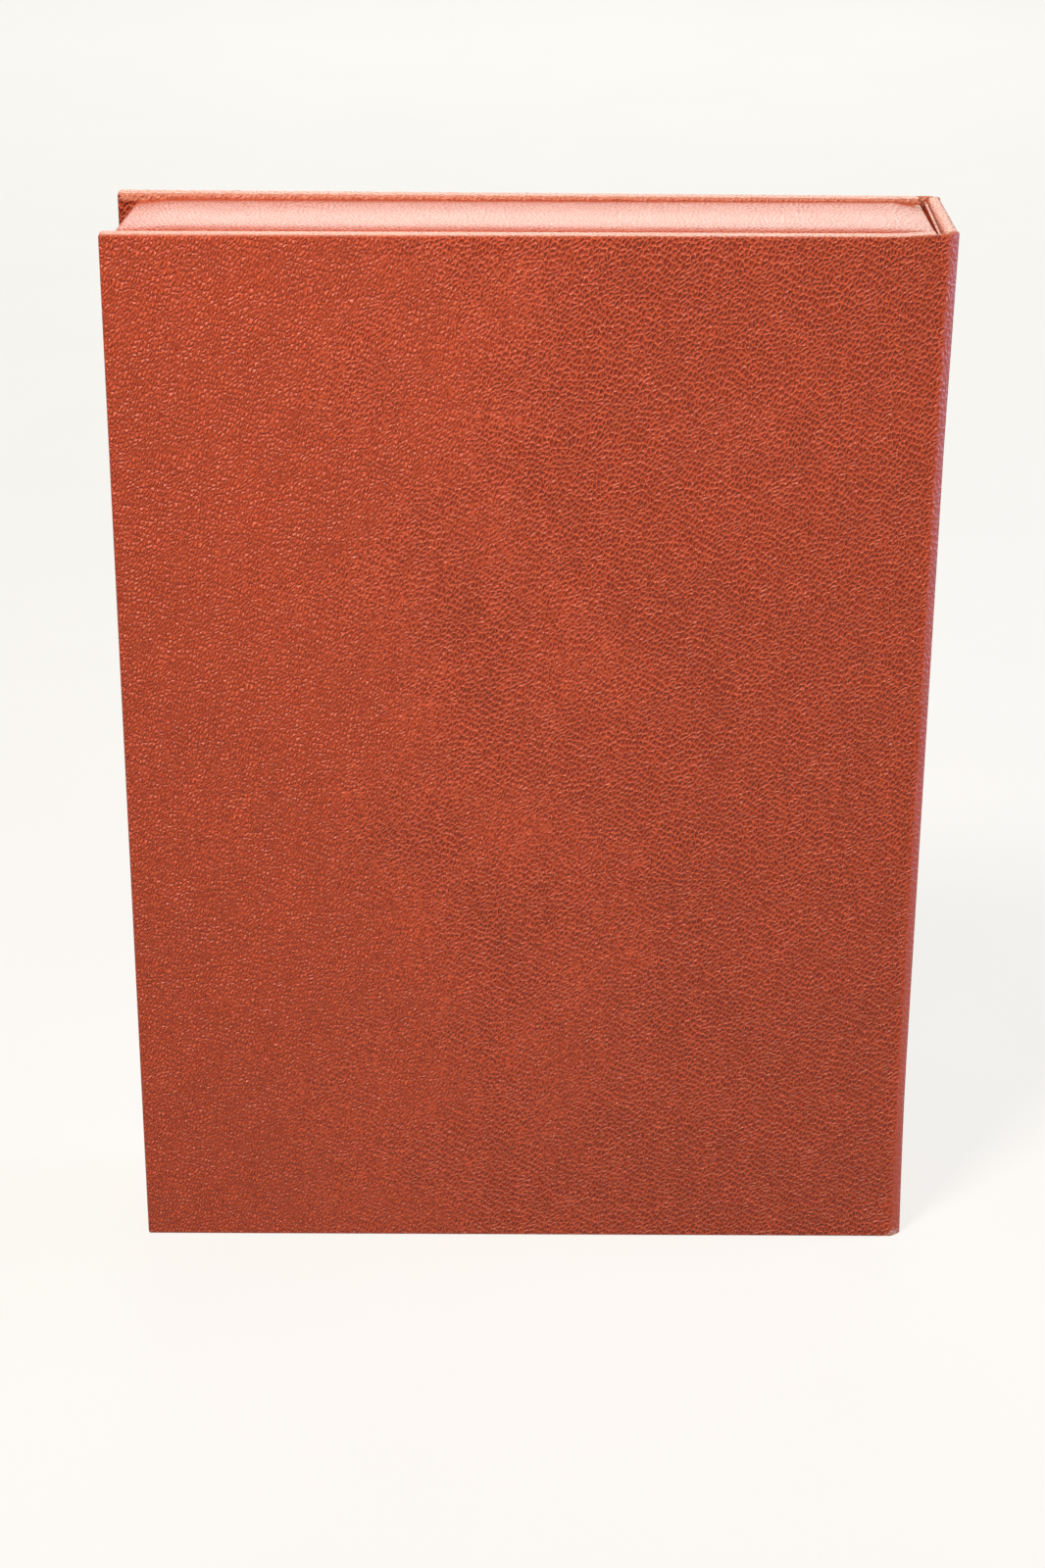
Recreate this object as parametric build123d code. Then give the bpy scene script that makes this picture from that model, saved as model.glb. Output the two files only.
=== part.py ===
"""Clamshell book box, closed and standing on its tail edge.

Millimetres. X runs from the fore-edge (-X) to the spine (+X), Y from the back cover (-Y) to the
front cover (+Y), Z from the tail up to the head. The origin is the centre of the tail, on the
surface the box stands on.

Most pieces are laid out by their depth below the outer face of the cover that carries them, so
one function builds the same piece for either cover: side is BACK or FRONT.
"""

import os

from build123d import *

# ---------------------------------------------------------------- driving dimensions

BOX_WIDTH = 196.0            # fore-edge to spine, over the leather
BOX_HEIGHT = 267.5           # tail to head, over the leather
BOX_DEPTH = 41.0             # back cover to front cover, over the leather

LEATHER = 0.6                # covering and lining leather
FLOOR_PAPER = 0.3            # lining paper on the tray floors
COVER_BOARD = 3.0
SPINE_BOARD = 1.3
WALL_BOARD = 2.0
BASE_BOARD = 2.0

BOARD_CORNER = 0.5           # round of a cover board's fore-edge corners
BOARD_ARRIS = 0.3            # eased long edges of the cover and spine boards
WALL_CORNER = 1.2            # round of a tray's upright fore-edge corners
WALL_ARRIS = 0.8             # eased rim of the tray wall boards

JOINT_WIDTH = 4.5            # spine's outer face to the cover board's spine-side edge
FOLD_RADIUS = 0.8            # inside radius of the folded joint
TURN_IN = 15.0               # leather turned in over the cover and spine boards
TURN_UNDER = 12.0            # tray leather turned under the base
HINGE_FLANGE = 14.0          # joint lining glued down on the inside of a cover board
LINING_SETBACK = 1.0         # spine and joint linings stop this far from head and tail

FORE_EDGE_SQUARE = 3.8       # cover past the foot of the outer tray at the fore-edge
HEAD_SQUARE = 1.5            # cover past the foot of the outer tray at head and tail
WALL_FLARE = 1.3             # outward lean of the outer tray's walls, foot to rim
TRAY_CLEARANCE = 1.1         # inner tray to the foot of the outer tray's walls, all round
TRAY_SPINE_GAP = 0.7         # open end of both trays to the spine lining
OUTER_RIM_GAP = 0.3          # rim of the outer tray to the back cover
INNER_RIM_GAP = 0.4          # rim of the inner tray to the floor of the outer tray
PAPER_MARGIN = 1.0           # bare strip round the floor paper

# ---------------------------------------------------------------- worked out from them

BACK, FRONT = -1, 1

COVER = COVER_BOARD + 2 * LEATHER            # board, covering and turn-in
WALL = WALL_BOARD + 2 * LEATHER              # wall board covered on both faces
BEND_RADIUS = FOLD_RADIUS + 2 * LEATHER      # outside of the folded joint
FLOOR = COVER + LEATHER + BASE_BOARD         # depth of a tray's floor board face

FORE_EDGE = -BOX_WIDTH / 2
SPINE_FACE = BOX_WIDTH / 2
JOINT_EDGE = SPINE_FACE - JOINT_WIDTH        # spine-side edge of the cover boards
SPINE_BOARD_OUT = SPINE_FACE - LEATHER
SPINE_BOARD_IN = SPINE_BOARD_OUT - SPINE_BOARD
SPINE_TURN_IN = SPINE_BOARD_IN - LEATHER     # face of the spine's turn-ins
SPINE_LINED = SPINE_TURN_IN - LEATHER        # innermost face, where the lining rides over them
TRAY_END = SPINE_LINED - TRAY_SPINE_GAP      # open end of both trays
MIDDLE = BOX_HEIGHT / 2


# ---------------------------------------------------------------- shapes

def block(x0, x1, depth0, depth1, z0, z1, side):
    """A plain block between two widths, two depths below a cover's outer face and two heights."""
    y0 = side * (BOX_DEPTH / 2 - depth0)
    y1 = side * (BOX_DEPTH / 2 - depth1)
    centre = Pos((x0 + x1) / 2, (y0 + y1) / 2, (z0 + z1) / 2)
    return centre * Box(x1 - x0, abs(y1 - y0), z1 - z0)


def cover_body(side, inset):
    """A whole cover, drawn in by inset on both faces and on its three free edges."""
    body = block(FORE_EDGE + inset, JOINT_EDGE, inset, COVER - inset,
                 inset, BOX_HEIGHT - inset, side)
    corners = body.edges().filter_by(Axis.Y).sort_by(Axis.X)[:2]
    body = fillet(corners, BOARD_CORNER + LEATHER - inset)
    rims = body.faces().filter_by(Axis.Y).edges()
    rims = rims.filter_by(lambda edge: edge.center().X < JOINT_EDGE - LEATHER)
    return fillet(rims, BOARD_ARRIS + LEATHER - inset)


def spine_body(inset):
    """The spine between its two joints, drawn in by inset on its faces and at head and tail."""
    body = block(SPINE_TURN_IN + inset, SPINE_FACE - inset, BEND_RADIUS, BOX_DEPTH - BEND_RADIUS,
                 inset, BOX_HEIGHT - inset, BACK)
    rims = body.edges().filter_by(Axis.Y)
    return fillet(rims, BOARD_ARRIS + LEATHER - inset)


def bend(side, inset, z0, z1):
    """Everything inside the folded joint's outer face, drawn in by inset."""
    turn = SPINE_FACE - BEND_RADIUS
    flat = block(JOINT_EDGE, turn, inset, BEND_RADIUS, z0, z1, side)
    round_end = Pos(turn, side * (BOX_DEPTH / 2 - BEND_RADIUS), (z0 + z1) / 2) * Cylinder(
        BEND_RADIUS - inset, z1 - z0)
    return flat + (round_end & block(turn, SPINE_FACE, 0, BEND_RADIUS, z0, z1, side))


# ---------------------------------------------------------------- covers and spine

def cover_board(side):
    """Stiff board of one cover."""
    return cover_body(side, LEATHER)


def cover_leather(side):
    """Leather over one cover's outer face and free edges, turned in over its inner face."""
    window = block(FORE_EDGE + TURN_IN, JOINT_EDGE, LEATHER + COVER_BOARD, COVER,
                   TURN_IN, BOX_HEIGHT - TURN_IN, side)
    return cover_body(side, 0) - cover_body(side, LEATHER) - window


def spine_board():
    """Thinner board that stiffens the spine."""
    return spine_body(LEATHER)


def spine_leather():
    """Leather over the spine's outer face, turned in at head and tail."""
    window = block(SPINE_TURN_IN, SPINE_BOARD_IN, 0, BOX_DEPTH,
                   TURN_IN, BOX_HEIGHT - TURN_IN, BACK)
    return spine_body(0) - spine_body(LEATHER) - window


def joint_leather(side):
    """Bare leather that folds round from the cover's outer face to the spine's."""
    return bend(side, 0, 0, BOX_HEIGHT) - bend(side, LEATHER, 0, BOX_HEIGHT)


def joint_lining(side):
    """Inner strip of the joint: glued inside the cover, down its board edge and into the fold."""
    z0, z1 = LINING_SETBACK, BOX_HEIGHT - LINING_SETBACK
    fold = bend(side, LEATHER, z0, z1) - bend(side, 2 * LEATHER, z0, z1)
    fold &= block(JOINT_EDGE, SPINE_FACE, 0, BEND_RADIUS - LEATHER, z0, z1, side)
    edge = block(JOINT_EDGE, JOINT_EDGE + LEATHER, LEATHER, COVER, z0, z1, side)
    flange = block(JOINT_EDGE - HINGE_FLANGE, JOINT_EDGE, LEATHER + COVER_BOARD, COVER,
                   TURN_IN, BOX_HEIGHT - TURN_IN, side)
    return fold + edge + flange


def spine_lining():
    """Lining over the spine's inner face and both its long edges, riding over the turn-ins."""
    depth0 = BEND_RADIUS - LEATHER
    z0, z1 = LINING_SETBACK, BOX_HEIGHT - LINING_SETBACK
    sheet = block(SPINE_TURN_IN, SPINE_BOARD_OUT, depth0, BOX_DEPTH - depth0, z0, z1, BACK)
    for low, high in ((z0, TURN_IN + LEATHER), (BOX_HEIGHT - TURN_IN - LEATHER, z1)):
        sheet += block(SPINE_LINED, SPINE_BOARD_OUT, depth0, BOX_DEPTH - depth0, low, high, BACK)
    sheet -= block(SPINE_BOARD_IN, SPINE_BOARD_OUT, BEND_RADIUS, BOX_DEPTH - BEND_RADIUS,
                   0, BOX_HEIGHT, BACK)
    sheet -= spine_body(0) - block(SPINE_TURN_IN, SPINE_BOARD_IN, 0, BOX_DEPTH,
                                   TURN_IN, BOX_HEIGHT - TURN_IN, BACK)
    return sheet - joint_leather(BACK) - joint_leather(FRONT)


# ---------------------------------------------------------------- trays

class Tray:
    """A tray of three walls, open towards the spine, glued inside one cover."""

    def __init__(self, side, fore_edge, tail, rim, flare):
        self.side = side             # cover that carries it
        self.fore_edge = fore_edge   # outer face of its fore-edge wall, at the foot
        self.tail = tail             # outer face of its tail wall, at the foot
        self.head = BOX_HEIGHT - tail
        self.rim = rim               # depth of its rim below the carrying cover's outer face
        self.flare = flare           # outward lean of its walls, foot to rim

    def lean(self, depth):
        """How far the walls have leaned out at that depth."""
        return self.flare * (depth - COVER) / (self.rim - COVER)

    def spineward(self, inset, depth0, depth1, end):
        """All between the fore-edge wall's outer face, drawn in by inset, and end."""
        foot, rim = (self.side * (BOX_DEPTH / 2 - depth) for depth in (depth0, depth1))
        outline = [(self.fore_edge - self.lean(depth0) + inset, foot), (end, foot),
                   (end, rim), (self.fore_edge - self.lean(depth1) + inset, rim)]
        return extrude(make_face(Polyline(*outline, close=True)), BOX_HEIGHT, dir=(0, 0, 1))

    def within(self, inset, depth0, depth1, end):
        """All inside the three walls' outer faces, drawn in by inset, and end."""
        foot, rim = (self.side * (BOX_DEPTH / 2 - depth) for depth in (depth0, depth1))
        out0, out1 = self.lean(depth0) - inset, self.lean(depth1) - inset
        outline = [(end, foot, self.tail - out0), (end, foot, self.head + out0),
                   (end, rim, self.head + out1), (end, rim, self.tail - out1)]
        upright = extrude(make_face(Polyline(*outline, close=True)), BOX_WIDTH, dir=(-1, 0, 0))
        return upright & self.spineward(inset, depth0, depth1, end)

    def ring(self, inset):
        """The three walls as one U, drawn in by inset on every face."""
        ring = self.within(inset, COVER + inset, self.rim - inset, TRAY_END - inset)
        uprights = ring.edges().filter_by(lambda edge: abs(edge.tangent_at(0.5).Y) > 0.9)
        ring = fillet(uprights.sort_by(Axis.X)[:2], WALL_CORNER + LEATHER - inset)
        ring -= self.within(WALL - inset, 0, BOX_DEPTH, SPINE_FACE)
        rim = ring.faces().filter_by(Axis.Y).sort_by(Axis.Y)[0 if self.side == FRONT else -1]
        return fillet(rim.edges(), WALL_ARRIS + LEATHER - inset)

    def walls(self):
        """Head, tail and fore-edge wall boards. The fore-edge board runs past the other two."""
        ring = self.ring(LEATHER)
        beyond = self.spineward(LEATHER + WALL_BOARD, 0, BOX_DEPTH, SPINE_FACE)
        upper = block(FORE_EDGE, SPINE_FACE, 0, BOX_DEPTH, MIDDLE, BOX_HEIGHT, self.side)
        return {"head_wall": (ring & beyond) & upper,
                "tail_wall": (ring & beyond) - upper,
                "fore_edge_wall": ring - beyond}

    def base(self):
        """Base board, fitted between the walls."""
        return self.within(LEATHER + WALL_BOARD, COVER + LEATHER, FLOOR, TRAY_END - LEATHER)

    def wrap(self):
        """Leather over the walls inside and out, round the rim and open ends, under the base."""
        pan = self.within(WALL, COVER, FLOOR, TRAY_END)
        window = self.within(TURN_UNDER, COVER, COVER + LEATHER, TRAY_END - TURN_UNDER)
        return self.ring(0) + pan - self.ring(LEATHER) - self.base() - window

    def floor_lining(self):
        """Lining paper on the floor, inside a narrow bare margin."""
        return self.within(WALL + PAPER_MARGIN, FLOOR, FLOOR + FLOOR_PAPER,
                           TRAY_END - PAPER_MARGIN)

    def pieces(self, name):
        """Every piece of the tray, by node name."""
        found = {f"{name}_{wall}": board for wall, board in self.walls().items()}
        found[f"{name}_base"] = self.base()
        found[f"{name}_wrap"] = self.wrap()
        found[f"{name}_floor_lining"] = self.floor_lining()
        return found


def outer_tray():
    """Larger tray on the front cover. Its rim closes down on the back cover."""
    return Tray(FRONT, FORE_EDGE + FORE_EDGE_SQUARE, HEAD_SQUARE,
                BOX_DEPTH - COVER - OUTER_RIM_GAP, WALL_FLARE)


def inner_tray():
    """Smaller tray on the back cover. It holds the book and nests in the outer tray."""
    nest = WALL + TRAY_CLEARANCE
    return Tray(BACK, FORE_EDGE + FORE_EDGE_SQUARE + nest, HEAD_SQUARE + nest,
                BOX_DEPTH - FLOOR - FLOOR_PAPER - INNER_RIM_GAP, 0)


# ---------------------------------------------------------------- the whole box

def build():
    """Every piece of the box, by node name."""
    nodes = {"spine_board": spine_board(),
             "spine_leather": spine_leather(),
             "spine_lining": spine_lining()}
    for name, side in (("back", BACK), ("front", FRONT)):
        nodes[f"{name}_board"] = cover_board(side)
        nodes[f"{name}_cover_leather"] = cover_leather(side)
        nodes[f"{name}_joint_leather"] = joint_leather(side)
        nodes[f"{name}_joint_lining"] = joint_lining(side)
    nodes.update(outer_tray().pieces("outer_tray"))
    nodes.update(inner_tray().pieces("inner_tray"))
    return nodes


os.makedirs("parts", exist_ok=True)
for node, shape in build().items():
    export_step(shape, f"parts/{node}.step")
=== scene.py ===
"""Looks for a clamshell book box, bound in red boarded goatskin.

The box stands closed on its tail edge: X runs from the fore-edge to the spine, Y from the back
cover to the front cover, Z from the tail up to the head.
"""

import math

import bmesh
import bpy
from mathutils import Matrix, Vector, noise


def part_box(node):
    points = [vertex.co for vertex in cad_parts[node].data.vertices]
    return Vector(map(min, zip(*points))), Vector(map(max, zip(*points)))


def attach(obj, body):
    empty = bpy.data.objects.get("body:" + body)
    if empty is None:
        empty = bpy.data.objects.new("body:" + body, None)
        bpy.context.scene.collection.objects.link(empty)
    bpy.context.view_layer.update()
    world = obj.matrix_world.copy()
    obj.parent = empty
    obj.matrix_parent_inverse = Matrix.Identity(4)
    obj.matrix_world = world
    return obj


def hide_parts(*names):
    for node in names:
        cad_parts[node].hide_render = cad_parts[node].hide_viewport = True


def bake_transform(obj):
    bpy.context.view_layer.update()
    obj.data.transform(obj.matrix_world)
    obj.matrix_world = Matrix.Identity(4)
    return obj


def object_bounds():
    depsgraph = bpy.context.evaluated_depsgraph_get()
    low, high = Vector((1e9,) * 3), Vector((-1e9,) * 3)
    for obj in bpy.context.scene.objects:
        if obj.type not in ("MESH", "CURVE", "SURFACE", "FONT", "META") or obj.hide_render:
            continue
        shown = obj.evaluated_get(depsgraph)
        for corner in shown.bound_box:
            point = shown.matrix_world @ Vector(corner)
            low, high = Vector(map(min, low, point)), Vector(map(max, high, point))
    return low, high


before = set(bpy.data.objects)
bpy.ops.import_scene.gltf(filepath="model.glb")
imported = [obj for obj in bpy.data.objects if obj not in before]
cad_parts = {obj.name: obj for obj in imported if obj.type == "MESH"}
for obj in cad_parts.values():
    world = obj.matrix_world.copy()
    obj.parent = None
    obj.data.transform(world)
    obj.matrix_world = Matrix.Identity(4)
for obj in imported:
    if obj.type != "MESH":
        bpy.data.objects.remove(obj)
cad_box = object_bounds()

# ------------------------------------------------------------------ camera
# A long lens a little above the head, looking down on the back cover.

camera = bpy.data.objects.new("camera", bpy.data.cameras.new("camera"))
bpy.context.scene.collection.objects.link(camera)
bpy.context.scene.camera = camera
camera.data.sensor_width = 36
camera.data.lens = 73.73
EYE = (-0.0011, -0.7406, 0.4561)
TURNED, LOOK_DOWN, TILTED = -0.045, 24.35, 0.274    # degrees
camera.matrix_world = (Matrix.Translation(EYE)
                       @ Matrix.Rotation(math.radians(TURNED), 4, "Z")
                       @ Matrix.Rotation(math.radians(90 - LOOK_DOWN), 4, "X")
                       @ Matrix.Rotation(math.radians(TILTED), 4, "Z"))
bpy.context.scene.view_settings.view_transform = "Standard"

# ------------------------------------------------------------------ floor, room and lamps
# A pale studio floor in a white room. A wide window of light stands behind the box and skims
# its head. A small key lamp rakes the grain from above and a little to the left, a low warm one
# fills from the front, and a cool one stands past the spine.


def linear(code):
    """An sRGB hex colour as linear red, green, blue and alpha."""
    parts = [int(code[i:i + 2], 16) / 255 for i in (0, 2, 4)]
    return (*(p / 12.92 if p <= 0.04045 else ((p + 0.055) / 1.055) ** 2.4 for p in parts), 1)


def add(tree, kind, inputs=None, **fields):
    """Adds a node to a tree, sets its fields, and sets or links its inputs."""
    node = tree.nodes.new("ShaderNode" + kind)
    for field, value in fields.items():
        setattr(node, field, value)
    for key, value in (inputs or {}).items():
        if isinstance(value, bpy.types.NodeSocket):
            tree.links.new(value, node.inputs[key])
        else:
            node.inputs[key].default_value = value
    return node


def new_material(name):
    """An empty material, as its node tree and the material."""
    material = bpy.data.materials.new(name)
    material.use_nodes = True
    material.node_tree.nodes.clear()
    return material.node_tree, material


def close_material(tree, surface):
    """Joins a surface shader to the material's output."""
    add(tree, "OutputMaterial", {"Surface": surface.outputs[0]})


def in_sight(tree):
    """1 for what the camera sees, straight or by way of a shine or glass, and 0 for light."""
    path = add(tree, "LightPath")
    seen = add(tree, "Math", {0: path.outputs["Is Camera Ray"], 1: path.outputs["Is Glossy Ray"]},
               operation="MAXIMUM")
    return add(tree, "Math", {0: seen.outputs[0], 1: path.outputs["Is Transmission Ray"]},
               operation="MAXIMUM").outputs[0]


FLOOR_REACH = 4         # metres from the middle of the floor to its edges
SELF_LIT = 0.85         # share of the floor's seen colour that no shadow takes away

bm = bmesh.new()
bmesh.ops.create_grid(bm, x_segments=1, y_segments=1, size=FLOOR_REACH)
floor_mesh = bpy.data.meshes.new("studio_floor")
bm.to_mesh(floor_mesh)
bm.free()
floor = bpy.data.objects.new("studio_floor", floor_mesh)
bpy.context.scene.collection.objects.link(floor)
tree, floor_paint = new_material("matt_studio_board")
coordinate = add(tree, "TexCoord").outputs["Object"]
mottle = add(tree, "TexNoise", {"Vector": coordinate, "Scale": 9.0, "Detail": 3.0})
tone = add(tree, "ValToRGB", {0: mottle.outputs[0]})
tone.color_ramp.elements[0].color = linear("FAF8F3")
tone.color_ramp.elements[1].color = linear("FDFBF7")
seen = in_sight(tree)
paint = add(tree, "Mix", {0: seen, 6: linear("8C8176"), 7: tone.outputs[0]}, data_type="RGBA")
board = add(tree, "BsdfPrincipled", {"Base Color": paint.outputs[2], "Roughness": 0.75})
glow = add(tree, "Emission", {"Color": tone.outputs[0], "Strength": 1.0})
share = add(tree, "Math", {0: seen, 1: SELF_LIT}, operation="MULTIPLY")
close_material(tree, add(tree, "MixShader", {0: share.outputs[0], 1: board.outputs[0],
                                             2: glow.outputs[0]}))
floor_mesh.materials.append(floor_paint)

world = bpy.data.worlds.new("white_room")
bpy.context.scene.world = world
world.use_nodes = True
tree = world.node_tree
tree.nodes.clear()
fill = add(tree, "Background", {"Color": linear("FFFDFA"), "Strength": 0.15})
shown = add(tree, "Background", {"Color": (1, 1, 1, 1), "Strength": 1.0})
both = add(tree, "MixShader", {0: in_sight(tree), 1: fill.outputs[0], 2: shown.outputs[0]})
add(tree, "OutputWorld", {"Surface": both.outputs[0]})


def softbox(name, place, aim, size, watts, colour, spread=180):
    """A rectangular lamp at place, turned towards aim, with its light spread in degrees."""
    lamp = bpy.data.lights.new(name, "AREA")
    lamp.shape = "RECTANGLE"
    lamp.size, lamp.size_y = size
    lamp.energy = watts
    lamp.color = linear(colour)[:3]
    lamp.spread = math.radians(spread)
    holder = bpy.data.objects.new(name, lamp)
    bpy.context.scene.collection.objects.link(holder)
    away = (Vector(place) - Vector(aim)).to_track_quat("Z", "Y")
    holder.matrix_world = Matrix.Translation(place) @ away.to_matrix().to_4x4()
    holder.visible_camera = False


softbox("window_behind", place=(0.05, 1.8, 0.72), aim=(0, 0, 0.26), size=(1.15, 0.8),
        watts=11.5, colour="F0F2E6")
softbox("key_upper_left", place=(-0.3, -0.5, 1.0), aim=(0, 0, 0.22), size=(0.2, 0.2),
        watts=4.05, colour="FFF4E8", spread=110)
softbox("low_front", place=(0.0, -1.15, 0.08), aim=(0, 0, 0.25), size=(0.9, 0.16),
        watts=0.9, colour="FFD8B0", spread=58)
softbox("cool_side", place=(1.2, 0.16, 0.24), aim=(0.098, 0, 0.24), size=(0.4, 0.4),
        watts=15, colour="C0D0FF")

# ------------------------------------------------------------------ sizes
# Read from the frame where it holds them, in metres. Skin is measured flat along the grain
# map: its u runs from the back cover's middle round the spine to the front cover's, v up.

MM = 0.001
WIDTH, HEIGHT, DEPTH = (cad_box[1][i] - cad_box[0][i] for i in (0, 2, 1))
SKIN = 0.6 * MM                    # thickness of the leather
COVER = 4.2 * MM                   # thickness of a cover, board and leather
TURN_IN = 15 * MM                  # leather turned over a board's inner face
BEND = 2 * MM                      # outer radius of a joint's bend
JOINT = WIDTH / 2 - 4.5 * MM       # x where the cover boards end
TURN = WIDTH / 2 - BEND            # x where a joint starts to bend
ROUND = BEND * math.pi / 2         # length of skin round one bend
GIRTH = 2 * (TURN + ROUND - BEND) + DEPTH    # u of the front cover's middle

# ------------------------------------------------------------------ goatskin
# The skin of the covers, spine and trays: vegetable-tanned goat, dyed brick red and boarded
# into close pits, 1 mm across and drawn out to 1.6 mm. The ridges round the pits are polished
# and a little paler, partly as a painted highlight, and the pits dark, partly as a painted shade.
# Towards the fore-edge small slanting pebbles take over.

# pitch across the lean, how many times the grain is drawn out along it, and the lean in degrees
PIT, PIT_DRAWN, PIT_LEAN = 1.04 * MM, 1.5, 62
PEBBLE, PEBBLE_DRAWN, PEBBLE_LEAN = 0.8 * MM, 1.9, 66
SWAY = 2.2 * MM                    # how far its rows wander
FIRST_PITS, MOST_PITS = 0.0, 0.12  # u where pits begin to take over, and where they are densest
# the ridges' colour is paler partly as a painted highlight, and the pits' colour is partly a
# painted shade
# the rubbed colour over head and tail is partly rubbed wear and partly a painted sheen
RIDGE_DYE_AND_HIGHLIGHT, RUBBED_DYE_AND_SHEEN = "BE4E27", "D9957A"
RIDGE_ROUGHNESS = 0.33


def mottle_over(tree, flat, scale, detail=2.0):
    """Soft noise over the flat skin."""
    return add(tree, "TexNoise", {"Vector": flat, "Scale": scale, "Detail": detail},
               noise_dimensions="2D")


def cells(tree, flat, pitch, drawn, lean, randomness):
    """How far it is to the edge of close cells that are drawn out along their lean."""
    turned = add(tree, "Mapping", {"Vector": flat, "Rotation": (0, 0, math.radians(lean)),
                                   "Scale": (drawn, 1, 1)}, vector_type="TEXTURE")
    return add(tree, "TexVoronoi", {"Vector": turned.outputs[0], "Scale": 1 / pitch,
                                    "Randomness": randomness},
               voronoi_dimensions="2D", feature="DISTANCE_TO_EDGE").outputs[0]


def away_from(tree, value, place):
    """How far a value is from a place, to either side."""
    off = add(tree, "Math", {0: value, 1: place}, operation="SUBTRACT")
    return add(tree, "Math", {0: off.outputs[0]}, operation="ABSOLUTE").outputs[0]


def goatskin(name, relief, pit_dye_and_shade, pit_roughness, worn=None):
    """Goatskin on the grain map. Relief is the depth of its pits in metres, and worn is a
    bared spot: its place, its reach, its colour and how bare it is."""
    tree, material = new_material(name)
    flat = add(tree, "UVMap", uv_map="grain").outputs[0]
    sway = mottle_over(tree, flat, 85.0)
    sway = add(tree, "VectorMath", {0: sway.outputs["Color"], 1: (0.5, 0.5, 0.5)},
               operation="SUBTRACT")
    sway = add(tree, "VectorMath", {0: sway.outputs[0], "Scale": SWAY}, operation="SCALE")
    swayed = add(tree, "VectorMath", {0: flat, 1: sway.outputs[0]}, operation="ADD").outputs[0]

    # pits sunk between ridges, and pebbles that stand up between furrows
    pit = cells(tree, swayed, PIT, PIT_DRAWN, PIT_LEAN, 0.8)
    pits = add(tree, "MapRange", {"Value": pit, "From Max": 0.42, "To Min": 1.0, "To Max": 0.0},
               interpolation_type="SMOOTHSTEP")
    pebble = cells(tree, swayed, PEBBLE, PEBBLE_DRAWN, PEBBLE_LEAN, 0.9)
    pebbles = add(tree, "MapRange", {"Value": pebble, "From Max": 0.4, "To Min": 0.43,
                                     "To Max": 0.8}, interpolation_type="SMOOTHSTEP")
    along = add(tree, "SeparateXYZ", {0: flat})
    place = add(tree, "Math", {0: mottle_over(tree, flat, 30.0).outputs[0], 1: 0.16,
                               2: along.outputs[0]}, operation="MULTIPLY_ADD")
    share = add(tree, "MapRange", {"Value": place.outputs[0], "From Min": FIRST_PITS,
                                   "From Max": MOST_PITS, "To Min": 0.07, "To Max": 0.58},
                interpolation_type="SMOOTHSTEP")
    ridge = add(tree, "Mix", {0: share.outputs[0], 2: pebbles.outputs[0],
                              3: pits.outputs[0]}).outputs[0]

    # the ridges are uneven, and finely wrinkled
    wear = add(tree, "MapRange", {"Value": mottle_over(tree, flat, 420.0).outputs[0],
                                  "From Min": 0.3, "From Max": 0.7, "To Min": 0.8})
    ridge = add(tree, "Math", {0: wear.outputs[0], 1: ridge}, operation="MULTIPLY").outputs[0]

    # rubbed nearly smooth where it turns over head and tail, and stretched round the joints
    from_middle = away_from(tree, along.outputs[1], HEIGHT / 2)
    rubbed_and_sheen = add(tree, "MapRange", {"Value": from_middle, "From Min": HEIGHT / 2 - 0.4 * MM,
                                    "From Max": HEIGHT / 2 + 0.8 * MM, "To Min": 1.0,
                                    "To Max": 0.3})
    from_spine = away_from(tree, along.outputs[0], GIRTH / 2)
    from_joint = away_from(tree, from_spine, GIRTH / 2 - TURN - ROUND / 2)
    stretched = add(tree, "MapRange", {"Value": from_joint, "From Min": 1.2 * MM,
                                       "From Max": 2.6 * MM, "To Min": 0.2, "To Max": 1.0})
    ridge = add(tree, "Mix", {0: rubbed_and_sheen.outputs[0], 2: 0.62, 3: ridge})
    ridge = add(tree, "Mix", {0: stretched.outputs[0], 2: 0.4, 3: ridge.outputs[0]}).outputs[0]
    pores = mottle_over(tree, flat, 2600.0)
    rise = add(tree, "Math", {0: pores.outputs[0], 1: 0.1, 2: ridge}, operation="MULTIPLY_ADD")
    bump = add(tree, "Bump", {"Height": rise.outputs[0], "Strength": 1.0, "Distance": relief})

    # colour: deepest in the pits, partly dye and partly painted shade, and paler on the ridges,
    # partly as a painted highlight; uneven over the hide; pale over head and tail, partly rubbed
    # and partly a painted sheen
    cloud = mottle_over(tree, flat, 38.0, 4.0)
    # pits darker and ridges paler: partly dye pooled in the pits, partly painted shade in the
    # pits and a painted highlight on the ridges
    dye_shade_and_highlight = add(tree, "ValToRGB", {0: ridge})
    dye_shade_and_highlight.color_ramp.elements[0].color = linear(pit_dye_and_shade)
    dye_shade_and_highlight.color_ramp.elements[0].position = 0.08
    dye_shade_and_highlight.color_ramp.elements[1].color = linear(RIDGE_DYE_AND_HIGHLIGHT)
    dye_shade_and_highlight.color_ramp.elements[1].position = 0.74
    fade = add(tree, "MapRange", {"Value": cloud.outputs[0], "From Min": 0.3, "From Max": 0.7,
                                  "To Min": 0.965, "To Max": 1.03})
    hue = add(tree, "HueSaturation", {"Value": fade.outputs[0], "Color": dye_shade_and_highlight.outputs[0]})
    # the pale colour over head and tail is partly rubbed wear and partly a painted sheen on the
    # edges
    pale_rubbed_and_sheen = add(tree, "MapRange", {"Value": rubbed_and_sheen.outputs[0], "From Min": 0.3, "To Min": 0.55,
                                  "To Max": 0.0})
    colour = add(tree, "Mix", {0: pale_rubbed_and_sheen.outputs[0], 6: hue.outputs[0], 7: linear(RUBBED_DYE_AND_SHEEN)},
                 data_type="RGBA").outputs[2]
    rough = add(tree, "MapRange", {"Value": ridge, "From Max": 0.8, "To Min": pit_roughness,
                                   "To Max": RIDGE_ROUGHNESS}).outputs[0]

    if worn:
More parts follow.
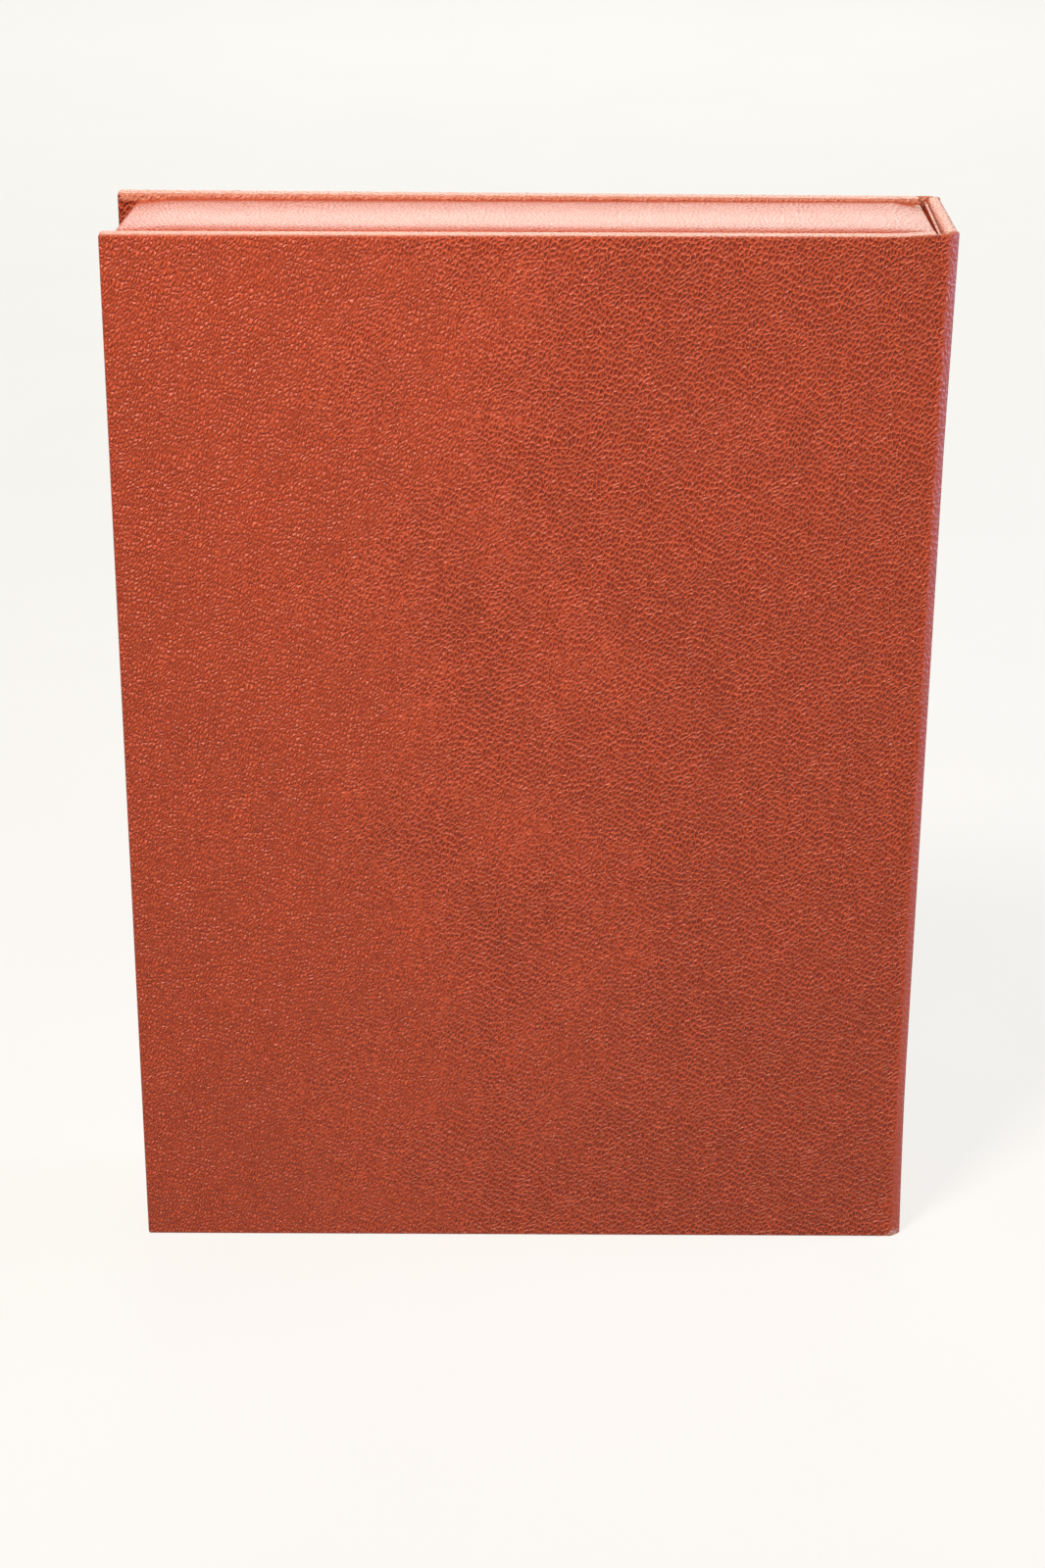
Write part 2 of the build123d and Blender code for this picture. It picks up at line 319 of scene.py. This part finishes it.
        # one worn spot, bared to the pale corium under the dye
        spot, reach, tint, amount = worn
        there = add(tree, "TexCoord").outputs["Object"]
        off = add(tree, "VectorMath", {0: there, 1: spot}, operation="DISTANCE")
        frays = add(tree, "TexNoise", {"Vector": there, "Scale": 900.0, "Detail": 3.0})
        edge = add(tree, "Math", {0: frays.outputs[0], 1: reach * 0.9, 2: off.outputs["Value"]},
                   operation="MULTIPLY_ADD")
        bare = add(tree, "MapRange", {"Value": edge.outputs[0], "From Min": reach * 0.9,
                                      "From Max": reach * 1.15, "To Min": amount, "To Max": 0})
        colour = add(tree, "Mix", {0: bare.outputs[0], 6: colour, 7: linear(tint)},
                     data_type="RGBA").outputs[2]
        rough = add(tree, "Mix", {0: bare.outputs[0], 2: rough, 3: 0.85}).outputs[0]

    skin = add(tree, "BsdfPrincipled", {"Base Color": colour, "Roughness": rough, "IOR": 1.47,
                                        "Normal": bump.outputs[0]})
    close_material(tree, skin)
    return material


# the pit colour given here is partly a painted shade
cover_skin = goatskin("boarded_goatskin_cover", 1.1 * MM, "821B06", 0.6,
                      worn=((97 * MM, -19.5 * MM, 0.0), 3.5 * MM, "C99A8C", 0.8))

# ------------------------------------------------------------------ back and front coverings
# One skin covers the whole case. Over each board it lies flat, turns round the three free
# edges and is glued down 15 mm over the board's inner face. The joint side runs on.

ROW = 9 * MM                       # faces along flat skin are about this long
EDGE_ROW = 1.7 * MM                # but for one short row beside each rim
RIPPLE = 0.08 * MM                 # hand-laid skin is never dead flat
BOW = 0.22 * MM                    # the back cover's fore-edge bows out
CAP_RISE = 0.95                    # millimetres


def along_edge(edge, axis):
    """Whether an edge runs along an axis."""
    run = edge.verts[1].co - edge.verts[0].co
    return abs(run[axis]) > 0.98 * run.length


def cut(bm, axis, places):
    """Cuts a mesh across an axis at each place."""
    normal = Vector([1.0 if i == axis else 0.0 for i in range(3)])
    for place in places:
        bmesh.ops.bisect_plane(bm, geom=bm.verts[:] + bm.edges[:] + bm.faces[:],
                               plane_co=normal * place, plane_no=normal, dist=1e-7)


def steps(low, high, size):
    """Evenly spaced places between low and high, about size apart."""
    count = max(1, round((high - low) / size))
    return [low + (high - low) * i / count for i in range(1, count)]


def round_edges(bm, edges, radius, segments=4):
    """Rounds edges over."""
    bmesh.ops.bevel(bm, geom=edges, offset=radius, segments=segments, profile=0.5,
                    affect="EDGES", material=-1, clamp_overlap=True)


def clear(bm, unwanted):
    """Takes away faces and what only they held."""
    bmesh.ops.delete(bm, geom=[f for f in bm.faces if unwanted(f)], context="FACES")


def clamp(part):
    """Holds a number between 0 and 1."""
    return min(1, max(0, part))


def ease(part):
    """A smooth run from 0 to 1, held at both ends."""
    part = clamp(part)
    return part * part * (3 - 2 * part)


def settle(verts):
    """Sets a piece a little out of square, as far as a hand-made box is. The spine's cap stands
    up where the turned-in skin is thick, and head and tail spread past the spine's middle."""
    for vert in verts:
        x, y, z = vert.co
        across, deep = x / WIDTH + 0.5, y / DEPTH + 0.5

        # the last quarter of the height rises, unevenly from corner to corner
        near, far = 0.3 * across - 0.05, 0.5 - 0.7 * across
        cap = clamp((x - 86 * MM) / (11 * MM)) ** 1.5
        lift = near + (far - near) * deep + CAP_RISE * cap * (1 - deep)
        vert.co.z += lift * MM * ease(z / HEIGHT * 4 - 3)

        # the spine bulges, most in the 50 mm next to head and tail
        head, tail = (max(0, 1 - d / (50 * MM)) for d in (HEIGHT - z, z))
        out = clamp((x - 94.5 * MM) / (3 * MM))
        vert.co.x += (0.35 + 0.58 * head + 0.9 * tail ** 1.5) * MM * out


def lay_skin(bm, name, unroll, material, node, body=None, shape=None):
    """Gives a sheet of skin its grain map, last shape and thickness, in place of a CAD node."""
    grain = bm.loops.layers.uv.new("grain")
    bm.normal_update()
    for face in bm.faces:
        face.smooth = True
        centre, normal = face.calc_center_median(), face.normal
        for loop in face.loops:
            loop[grain].uv = unroll(loop.vert.co, centre, normal)
    if shape:
        shape(bm.verts)
    bmesh.ops.solidify(bm, geom=bm.faces[:], thickness=SKIN)
    bm.normal_update()
    for edge in bm.edges:
        edge.smooth = edge.calc_face_angle(0) < 0.8
    mesh = bpy.data.meshes.new(name)
    bm.to_mesh(mesh)
    bm.free()
    made = bpy.data.objects.new(name, mesh)
    bpy.context.scene.collection.objects.link(made)
    mesh.materials.append(material)
    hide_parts(node)
    if body:
        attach(made, body)
    return made


def covering(name, side):
    """The skin over one cover board. Side is -1 for the back cover and 1 for the front."""
    low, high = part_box(f"{name}_cover_leather")
    bm = bmesh.new()
    bmesh.ops.create_cube(bm, size=1, matrix=Matrix.Translation((low + high) / 2)
                          @ Matrix.Diagonal((*(high - low), 1)))
    clear(bm, lambda f: f.normal.x > 0.9)
    round_edges(bm, [e for e in bm.edges if along_edge(e, 1) and e.verts[0].co.x < 0],
                0.7 * MM, 3)
    bm.normal_update()
    rims = [e for e in bm.edges if len(e.link_faces) == 2
            and (abs(e.link_faces[0].normal.y) > 0.9) != (abs(e.link_faces[1].normal.y) > 0.9)]
    round_edges(bm, rims, 0.7 * MM)
    cut(bm, 0, [low.x + EDGE_ROW, low.x + TURN_IN] + steps(low.x + 6 * MM, JOINT, ROW))
    cut(bm, 2, [EDGE_ROW, TURN_IN, HEIGHT - TURN_IN, HEIGHT - EDGE_ROW]
        + steps(7 * MM, HEIGHT - 7 * MM, ROW))
    bm.normal_update()

    def bare_board(face):
        centre = face.calc_center_median()
        return (face.normal.y * side < -0.9 and centre.x > low.x + TURN_IN
                and TURN_IN < centre.z < HEIGHT - TURN_IN)
    clear(bm, bare_board)

    outer = side * DEPTH / 2

    def unroll(at, centre, normal):
        sunk = abs(outer - at.y)
        inner = abs(outer - centre.y) > COVER / 2
        reach = {"head": HEIGHT - centre.z, "tail": centre.z, "fore": centre.x - low.x}
        nearest = min(reach, key=reach.get)
        u, v = at.x, at.z
        if nearest == "head":
            v = HEIGHT + sunk + ((HEIGHT - at.z) if inner else (at.z - HEIGHT))
        elif nearest == "tail":
            v = -sunk - at.z if inner else at.z - sunk
        else:
            u = low.x - sunk - (at.x - low.x) if inner else at.x - sunk
        return (GIRTH - u if side > 0 else u), v

    for vert in bm.verts:
        ripple = noise.noise(vert.co * 16) * RIPPLE
        if abs(vert.co.y - outer) < 1e-6 and vert.co.x < JOINT - 3 * MM:
            vert.co.y += ripple
        if side < 0:
            vert.co.x -= BOW * max(0, 1 - (vert.co.x - low.x) / (10 * MM))
    lay_skin(bm, f"{name}_covering", unroll, cover_skin, f"{name}_cover_leather",
             f"{name}_cover", settle)


covering("back", -1)
covering("front", 1)

# ------------------------------------------------------------------ spine covering
# The same skin over the thin spine board, turned in at head and tail.

low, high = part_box("spine_leather")
bm = bmesh.new()
bmesh.ops.create_cube(bm, size=1, matrix=Matrix.Translation((low + high) / 2)
                      @ Matrix.Diagonal((*(high - low), 1)))
clear(bm, lambda f: abs(f.normal.y) > 0.9)
round_edges(bm, [e for e in bm.edges if along_edge(e, 1)], 1.1 * MM)
cut(bm, 1, steps(low.y, high.y, 4 * MM))
cut(bm, 2, [EDGE_ROW, TURN_IN, HEIGHT - TURN_IN, HEIGHT - EDGE_ROW]
    + steps(7 * MM, HEIGHT - 7 * MM, ROW))
bm.normal_update()
clear(bm, lambda f: f.normal.x < -0.9 and TURN_IN < f.calc_center_median().z < HEIGHT - TURN_IN)


def unroll_spine(at, centre, normal):
    sunk = WIDTH / 2 - at.x
    u = TURN + ROUND + (at.y + DEPTH / 2 - BEND)
    turned_in = centre.x < WIDTH / 2 - 1.25 * MM
    if turned_in:
        v = HEIGHT + sunk + HEIGHT - at.z if centre.z > HEIGHT / 2 else -sunk - at.z
    else:
        v = at.z + sunk if centre.z > HEIGHT / 2 else at.z - sunk
    return u, v


lay_skin(bm, "spine_covering", unroll_spine, cover_skin, "spine_leather", "spine", settle)

# ------------------------------------------------------------------ joints
# Between board and spine the skin is bare over the joint. It is pressed a little into
# the gap, and doubled over at head and tail.

LAP, TUCK = 3.5 * MM, 1.2 * MM     # how far it is doubled down, and how deep that lies
PRESSED = 0.09 * MM
FLATTENED = 0.8                    # share of the way from a round bend to a flat one
FLAT_STRIPS, BEND_STRIPS = 5, 8


def joint_skin(name, side):
    """The skin over the joint between one cover and the spine."""
    out = side * DEPTH / 2
    bm = bmesh.new()
    profile = [(TUCK, LAP), (TUCK, 0), (0, 0), (0, HEIGHT), (TUCK, HEIGHT), (TUCK, HEIGHT - LAP)]
    line = [bm.verts.new((JOINT, out - side * deep, z)) for deep, z in profile]
    for a, b in zip(line, line[1:]):
        bm.edges.new((a, b))
    edge = bm.edges[:]
    for _ in range(FLAT_STRIPS):
        grown = bmesh.ops.extrude_edge_only(bm, edges=edge)["geom"]
        bmesh.ops.translate(bm, vec=((TURN - JOINT) / FLAT_STRIPS, 0, 0),
                            verts=[g for g in grown if isinstance(g, bmesh.types.BMVert)])
        edge = [g for g in grown if isinstance(g, bmesh.types.BMEdge)]
    bmesh.ops.spin(bm, geom=edge, cent=(TURN, out - side * BEND, 0), axis=(0, 0, -side),
                   dvec=(0, 0, 0), angle=math.pi / 2, steps=BEND_STRIPS, use_merge=False)
    bmesh.ops.remove_doubles(bm, verts=bm.verts[:], dist=1e-7)
    folds = [e for e in bm.edges if len(e.link_faces) == 2
             and all(min(v.co.z, HEIGHT - v.co.z) < 1e-6 for v in e.verts)]
    folds = [e for e in folds if not along_edge(e, 1) or abs(e.verts[0].co.x - JOINT) > 1e-6]
    round_edges(bm, [e for e in folds if e.calc_face_angle(0) > 1.0], SKIN - 0.01 * MM)
    cut(bm, 2, [2 * MM, HEIGHT - 2 * MM] + steps(LAP, HEIGHT - LAP, ROW))
    bm.normal_update()
    middle = [f for f in bm.faces if abs(f.calc_center_median().z - HEIGHT / 2) < ROW
              and f.calc_center_median().x < TURN]
    if middle[0].normal.y * side < 0:
        bmesh.ops.reverse_faces(bm, faces=bm.faces[:])

    def unroll(at, centre, normal):
        turned = Vector((at.x - TURN, (at.y - out) * side + BEND))
        angle = math.atan2(max(0, turned.x), turned.y) if at.x > TURN else 0
        sunk = abs(at.y - out) if at.x <= TURN else BEND - turned.length
        u = at.x if at.x <= TURN else TURN + BEND * angle
        doubled = sunk > SKIN + 0.01 * MM
        v = at.z + sunk if centre.z > HEIGHT / 2 else at.z - sunk
        if doubled:
            v = 2 * HEIGHT + sunk - at.z if centre.z > HEIGHT / 2 else -sunk - at.z
        return (GIRTH - u if side > 0 else u), v

    # pressed into the gap beside the board
    for vert in bm.verts:
        part = (vert.co.x - JOINT) / (TURN + 0.8 * MM - JOINT)
        if 0 < part < 1:
            vert.co.y -= side * PRESSED * math.sin(math.pi * part) ** 2

    def stretch(verts):
        """Draws the bend flat between its two edges, as skin pulled over a joint is."""
        for vert in verts:
            turned = Vector((vert.co.x - TURN, (vert.co.y - out) * side + BEND))
            if turned.x > 0:
                off_middle = math.atan2(turned.x, turned.y) - math.pi / 4
                chord = math.cos(math.pi / 4) / math.cos(off_middle)
                turned *= 1 - FLATTENED * (1 - chord)
                vert.co.x = TURN + turned.x
                vert.co.y = out + side * (turned.y - BEND)
        settle(verts)

    made = lay_skin(bm, f"{name}_joint_skin", unroll, cover_skin, f"{name}_joint_leather",
                    shape=stretch)
    ends = (JOINT, out, HEIGHT / 2), (WIDTH / 2, out - side * BEND, HEIGHT / 2)
    if side < 0:
        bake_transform(made)
    else:
        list(ends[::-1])
        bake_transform(made)


joint_skin("back", -1)
joint_skin("front", 1)

# ------------------------------------------------------------------ joint and spine linings
# Strips of the same goat, pared thin and smooth, that cover the inside of the case between the
# trays: over the cover's edge, into the fold, and round the spine board.

# the pit colour given here is partly a painted shade
lining_skin = goatskin("pared_goatskin_lining", 0.14 * MM, "842511", 0.5)
LINED = 1.0 * MM                        # the linings stop this far from head and tail
FLANGE = 14 * MM                        # glued down inside a cover
UNDER = 2 * SKIN                        # depth of a lining's face under the joint's skin
LINING_U = 0.5                          # the strips lie apart from the case on the grain map
SPINE_INSIDE = WIDTH / 2 - 2.5 * MM     # face of the spine's lining, between the turn-ins
BOARD_EDGE = SPINE_INSIDE + 1.7 * MM    # where it ends, round the edges of the spine board


def sweep_up(profile, *ends):
    """A sheet: an open profile of (x, y) drawn up the box, with rows at ends and between."""
    rows = steps(ends[0], HEIGHT - ends[0], ROW)
    rows = sorted({round(z, 6) for z in (*ends, *(HEIGHT - z for z in ends), *rows)})
    bm = bmesh.new()
    line = [bm.verts.new((x, y, rows[0])) for x, y in profile]
    edges = [bm.edges.new(pair) for pair in zip(line, line[1:])]
    for z0, z1 in zip(rows, rows[1:]):
        grown = bmesh.ops.extrude_edge_only(bm, edges=edges)["geom"]
        bmesh.ops.translate(bm, vec=(0, 0, z1 - z0),
                            verts=[g for g in grown if isinstance(g, bmesh.types.BMVert)])
        edges = [g for g in grown if isinstance(g, bmesh.types.BMEdge)]
    bm.normal_update()
    return bm


def fold_edges(bm):
    """The upright edges where a swept sheet turns a corner."""
    return [e for e in bm.edges if along_edge(e, 2) and len(e.link_faces) == 2
            and e.calc_face_angle(0) > 1.2]


def joint_lining(name, side):
    """The lining of one joint, from inside the cover to the spine board's edge."""
    def at(x, depth):
        return x, side * (DEPTH / 2 - depth)
    edge, radius = JOINT + SKIN, BEND - UNDER
    fold = [at(TURN + radius * math.sin(a), BEND - radius * math.cos(a))
            for a in (math.radians(8 * i) for i in range(1, 6))]
    bm = sweep_up([at(JOINT - FLANGE, COVER), at(JOINT - 6.5 * MM, COVER), at(edge, COVER),
                   at(edge, (COVER + UNDER) / 2), at(edge, UNDER),
                   at(TURN - MM, UNDER), at(TURN, UNDER), *fold], LINED, TURN_IN)
    inside = max(bm.faces, key=lambda f: -f.calc_center_median().x)
    if inside.normal.y * side > 0:
        bmesh.ops.reverse_faces(bm, faces=bm.faces[:])
    clear(bm, lambda f: f.calc_center_median().x < JOINT + SKIN / 2
          and not TURN_IN < f.calc_center_median().z < HEIGHT - TURN_IN)
    round_edges(bm, fold_edges(bm), 0.45 * MM, 3)

    def unroll(where, centre, normal):
        return where.x - side * where.y + LINING_U, where.z
    made = lay_skin(bm, f"{name}_joint_strip", unroll, lining_skin, f"{name}_joint_lining")
    y = side * 19.5 * MM
    ends = (94.2 * MM, y, HEIGHT / 2), (97.2 * MM, y, HEIGHT / 2)
    if side < 0:
        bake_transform(made)
    else:
        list(ends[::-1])
        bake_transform(made)


joint_lining("back", -1)
joint_lining("front", 1)


def ride_over_turn_ins(verts):
    """Steps the spine's lining up over the skin turned in under it at head and tail."""
    for vert in verts:
        if min(vert.co.z, HEIGHT - vert.co.z) < TURN_IN + 0.1 * MM:
            vert.co.x -= SKIN * min(1, (BOARD_EDGE - vert.co.x) / MM)


def unroll_lining(at, centre, normal):
    """The grain map of the spine's lining, round both its long edges."""
    return at.y + math.copysign(at.x - SPINE_INSIDE, at.y), at.z


edge = DEPTH / 2 - 1.4 * MM
bm = sweep_up([(BOARD_EDGE, -edge), (SPINE_INSIDE, -edge),
               *((SPINE_INSIDE, y) for y in steps(-edge, edge, 5 * MM)),
               (SPINE_INSIDE, edge), (BOARD_EDGE, edge)], LINED, TURN_IN, TURN_IN + 0.8 * MM)
inside = min(bm.faces, key=lambda f: abs(f.calc_center_median().y))
if inside.normal.x > 0:
    bmesh.ops.reverse_faces(bm, faces=bm.faces[:])
round_edges(bm, fold_edges(bm), 0.6 * MM, 3)
lay_skin(bm, "spine_strip", unroll_lining, lining_skin, "spine_lining", "spine",
         ride_over_turn_ins)

# ------------------------------------------------------------------ tray wraps
# Each tray is three board walls round a board floor, wrapped in the same boarded goat: up the
# outside, over the rim, down inside and under the base. The outer tray leans open a little,
# and the skin swells over the rim of its head wall.

WALL = 3.2 * MM                    # thickness of a tray wall
FLOOR = 6.8 * MM                   # depth of the floor inside a tray
TRAY_END = WIDTH / 2 - 3.8 * MM    # x of the open ends
TURN_UNDER = 12 * MM               # leather turned under the base
RIM_ROUND = 1.35 * MM

# the strips are cut from another part of the hide than the case: their places on the grain map
STRIP_U, PAN_U = 0.5, 0.9
STRIP_V = {"fore": 0.01, "tail": 0.1, "head": 0.19}
# the pit colour given here is partly a painted shade
tray_skin = goatskin("boarded_goatskin_trays", 0.14 * MM, "983615", 0.52,
                     worn=((93.5 * MM, 14.5 * MM, 266.2 * MM), 2.2 * MM, "E3CDBD", 0.9))


def tray_wrap(name, body, side, foot, tail, flare=0.0, swell=0.0):
    """The skin of one tray. Foot and tail are its outer walls' places at their foot."""
    low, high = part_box(f"{name}_wrap")
    out = side * DEPTH / 2
    head = HEIGHT - tail
    rim = abs(out - (low.y if side > 0 else high.y))

    def depth(co):
        return abs(out - co.y)

    # a slab as thick as the floor, with the walls drawn up round it
    bm = bmesh.new()
    bmesh.ops.create_cube(bm, size=1, matrix=Matrix.Translation(
        ((foot + TRAY_END) / 2, out - side * (COVER + FLOOR) / 2, HEIGHT / 2))
        @ Matrix.Diagonal((TRAY_END - foot, FLOOR - COVER, head - tail, 1)))
    cut(bm, 0, [foot + WALL])
    cut(bm, 2, [tail + WALL, head - WALL])
    bm.normal_update()

    def within(at, inset, end=0.0):
        return foot + inset < at.x < TRAY_END - end and tail + inset < at.z < head - inset
    walls = [f for f in bm.faces
             if f.normal.y * side < -0.9 and not within(f.calc_center_median(), WALL)]
    grown = bmesh.ops.extrude_face_region(bm, geom=walls)["geom"]
    bmesh.ops.translate(bm, vec=(0, side * (FLOOR - rim), 0),
                        verts=[g for g in grown if isinstance(g, bmesh.types.BMVert)])
    bmesh.ops.delete(bm, geom=walls, context="FACES")
    bmesh.ops.dissolve_limit(bm, angle_limit=0.01, verts=bm.verts[:], edges=bm.edges[:])
    bm.normal_update()

    # rounds at the uprights, the rim, and the open ends
    def uprights(x):
        return [e for e in bm.edges if along_edge(e, 1) and abs(e.verts[0].co.x - x) < 1e-6]
    round_edges(bm, uprights(foot), 1.8 * MM, 5)
    round_edges(bm, uprights(foot + WALL), 0.6 * MM, 2)
    round_edges(bm, [e for e in bm.edges if all(abs(depth(v.co) - rim) < 1e-6 for v in e.verts)
                     and e.calc_face_angle(0) > 1], RIM_ROUND, 5)
    round_edges(bm, [e for e in bm.edges if all(abs(v.co.x - TRAY_END) < 1e-6 for v in e.verts)
                     and e.calc_face_angle(0) > 0.8], 0.6 * MM, 3)
    cut(bm, 0, [foot + TURN_UNDER, TRAY_END - TURN_UNDER]
        + steps(foot + WALL + MM, TRAY_END - MM, 6 * MM))
    cut(bm, 2, [tail + TURN_UNDER, head - TURN_UNDER]
        + steps(tail + WALL + MM, head - WALL - MM, 6 * MM))
    cut(bm, 1, [out - side * d for d in steps(FLOOR + MM, rim - RIM_ROUND, 2 * MM)])
    bm.normal_update()
    clear(bm, lambda f: f.normal.y * side > 0.9 and depth(f.calc_center_median()) < COVER + 1e-6
          and within(f.calc_center_median(), TURN_UNDER, TURN_UNDER))

    def unroll(at, centre, normal):
        if abs(normal.y) > 0.9 and depth(centre) < FLOOR + 0.1 * MM:
            return at.x + PAN_U, at.z
        inward = {"fore": centre.x - foot, "tail": centre.z - tail, "head": head - centre.z}
        strip = min(inward, key=inward.get)
        gap = {"fore": at.x - foot, "tail": at.z - tail, "head": head - at.z}[strip]
        along = STRIP_U + (at.z if strip == "fore" else at.x)
        start = STRIP_V[strip]
        if normal.x > 0.7 and centre.x > TRAY_END - MM:
            return along + gap, start + depth(at)
        if inward[strip] < WALL / 2:
            return along, start + depth(at) + gap
        return along, start + 2 * rim - depth(at) + gap

    def stand(verts):
        """Leans the walls out, and swells the skin between the head wall's rim and foot."""
        for vert in verts:
            at = vert.co
            out_by = flare * (depth(at) - COVER) / (rim - COVER)
            wave = noise.noise(at * 30) * 0.1 * MM
            full = ease((depth(at) - 12 * MM) / (18 * MM))
            full -= clamp((depth(at) - rim + 4.6 * MM) / (4.4 * MM)) ** 1.6
            ends = min(1, (TRAY_END - at.x) / (5 * MM), (at.x - foot) / (5 * MM))
            if at.z > head - WALL / 2 and swell:
                at.z += (swell + wave) * full * ends
                at.z += 0.8 * MM * max(0, 1 - (depth(at) - COVER) / (24 * MM)) ** 2 * ends
            if at.x < foot + WALL + 0.8 * MM:
                at.x -= out_by
            if at.z > head - WALL - 0.8 * MM:
                at.z += out_by
            elif at.z < tail + WALL + 0.8 * MM:
                at.z -= out_by

    lay_skin(bm, f"{name}_covering", unroll, tray_skin, f"{name}_wrap", body, stand)


tray_wrap("outer_tray", "front_cover", 1, foot=-94.2 * MM, tail=1.5 * MM, flare=1.3 * MM,
          swell=0.65 * MM)
tray_wrap("inner_tray", "back_cover", -1, foot=-89.9 * MM, tail=5.8 * MM)

# ------------------------------------------------------------------ boards
# Grey pulp board, rolled hard, with cut edges. All of it is under skin or paper; specks of
# unbeaten fibre and a faint tooth show wherever it is bare.

tree, greyboard = new_material("grey_pulp_board")
there = add(tree, "TexCoord").outputs["Object"]
fibres = add(tree, "TexNoise", {"Vector": there, "Scale": 900.0, "Detail": 4.0,
                                "Roughness": 0.7})
specks = add(tree, "TexVoronoi", {"Vector": there, "Scale": 420.0})
speck = add(tree, "MapRange", {"Value": specks.outputs["Distance"], "From Min": 0.1,
                               "From Max": 0.22, "To Min": 0.7, "To Max": 1.0})
pulp = add(tree, "ValToRGB", {0: fibres.outputs[0]})
pulp.color_ramp.elements[0].position = 0.3
pulp.color_ramp.elements[0].color = linear("7F786C")
pulp.color_ramp.elements[1].position = 0.7
pulp.color_ramp.elements[1].color = linear("9B9486")
pulp = add(tree, "HueSaturation", {"Value": speck.outputs[0], "Color": pulp.outputs[0]})
tooth = add(tree, "Bump", {"Height": fibres.outputs[0], "Strength": 0.4, "Distance": 0.0001})
close_material(tree, add(tree, "BsdfPrincipled", {
    "Base Color": pulp.outputs[0], "Roughness": 0.88, "Normal": tooth.outputs[0]}))

for name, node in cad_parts.items():
    if name.endswith(("_board", "_base", "_wall")):
        node.data.materials.clear()
        node.data.materials.append(greyboard)

# ------------------------------------------------------------------ floor linings
# Cream laid lining paper, pasted to both tray floors: faint laid lines 1.1 mm apart, and long
# fibres that mottle the colour.

LAID = 1.1 * MM                         # pitch of the laid lines
WAVE = 2 * math.pi / 20                 # length of one wave in the texture, at a scale of 1

tree, laid_paper = new_material("cream_laid_paper")
there = add(tree, "TexCoord").outputs["Object"]
flat = add(tree, "Mapping", {"Vector": there, "Scale": (1, 0, 1)})
lines = add(tree, "TexWave", {"Vector": flat.outputs[0], "Scale": WAVE / LAID,
                              "Distortion": 0.6, "Detail": 2.0, "Detail Scale": 0.4},
            wave_type="BANDS", bands_direction="Z")
fibres = add(tree, "TexNoise", {"Vector": flat.outputs[0], "Scale": 260.0, "Detail": 5.0,
                                "Roughness": 0.65})
cream = add(tree, "ValToRGB", {0: fibres.outputs[0]})
cream.color_ramp.elements[0].position = 0.3
cream.color_ramp.elements[0].color = linear("DDD3BC")
cream.color_ramp.elements[1].position = 0.7
cream.color_ramp.elements[1].color = linear("EBE3CF")
ribs = add(tree, "MapRange", {"Value": lines.outputs["Fac"], "To Min": 0.965, "To Max": 1.01})
cream = add(tree, "HueSaturation", {"Value": ribs.outputs[0], "Color": cream.outputs[0]})
both = add(tree, "Math", {0: lines.outputs["Fac"], 1: 0.4, 2: fibres.outputs[0]},
           operation="MULTIPLY_ADD")
tooth = add(tree, "Bump", {"Height": both.outputs[0], "Strength": 0.5, "Distance": 0.00008})
close_material(tree, add(tree, "BsdfPrincipled", {
    "Base Color": cream.outputs[0], "Roughness": 0.82, "Normal": tooth.outputs[0]}))

for name in ("outer_tray_floor_lining", "inner_tray_floor_lining"):
    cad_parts[name].data.materials.clear()
    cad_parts[name].data.materials.append(laid_paper)
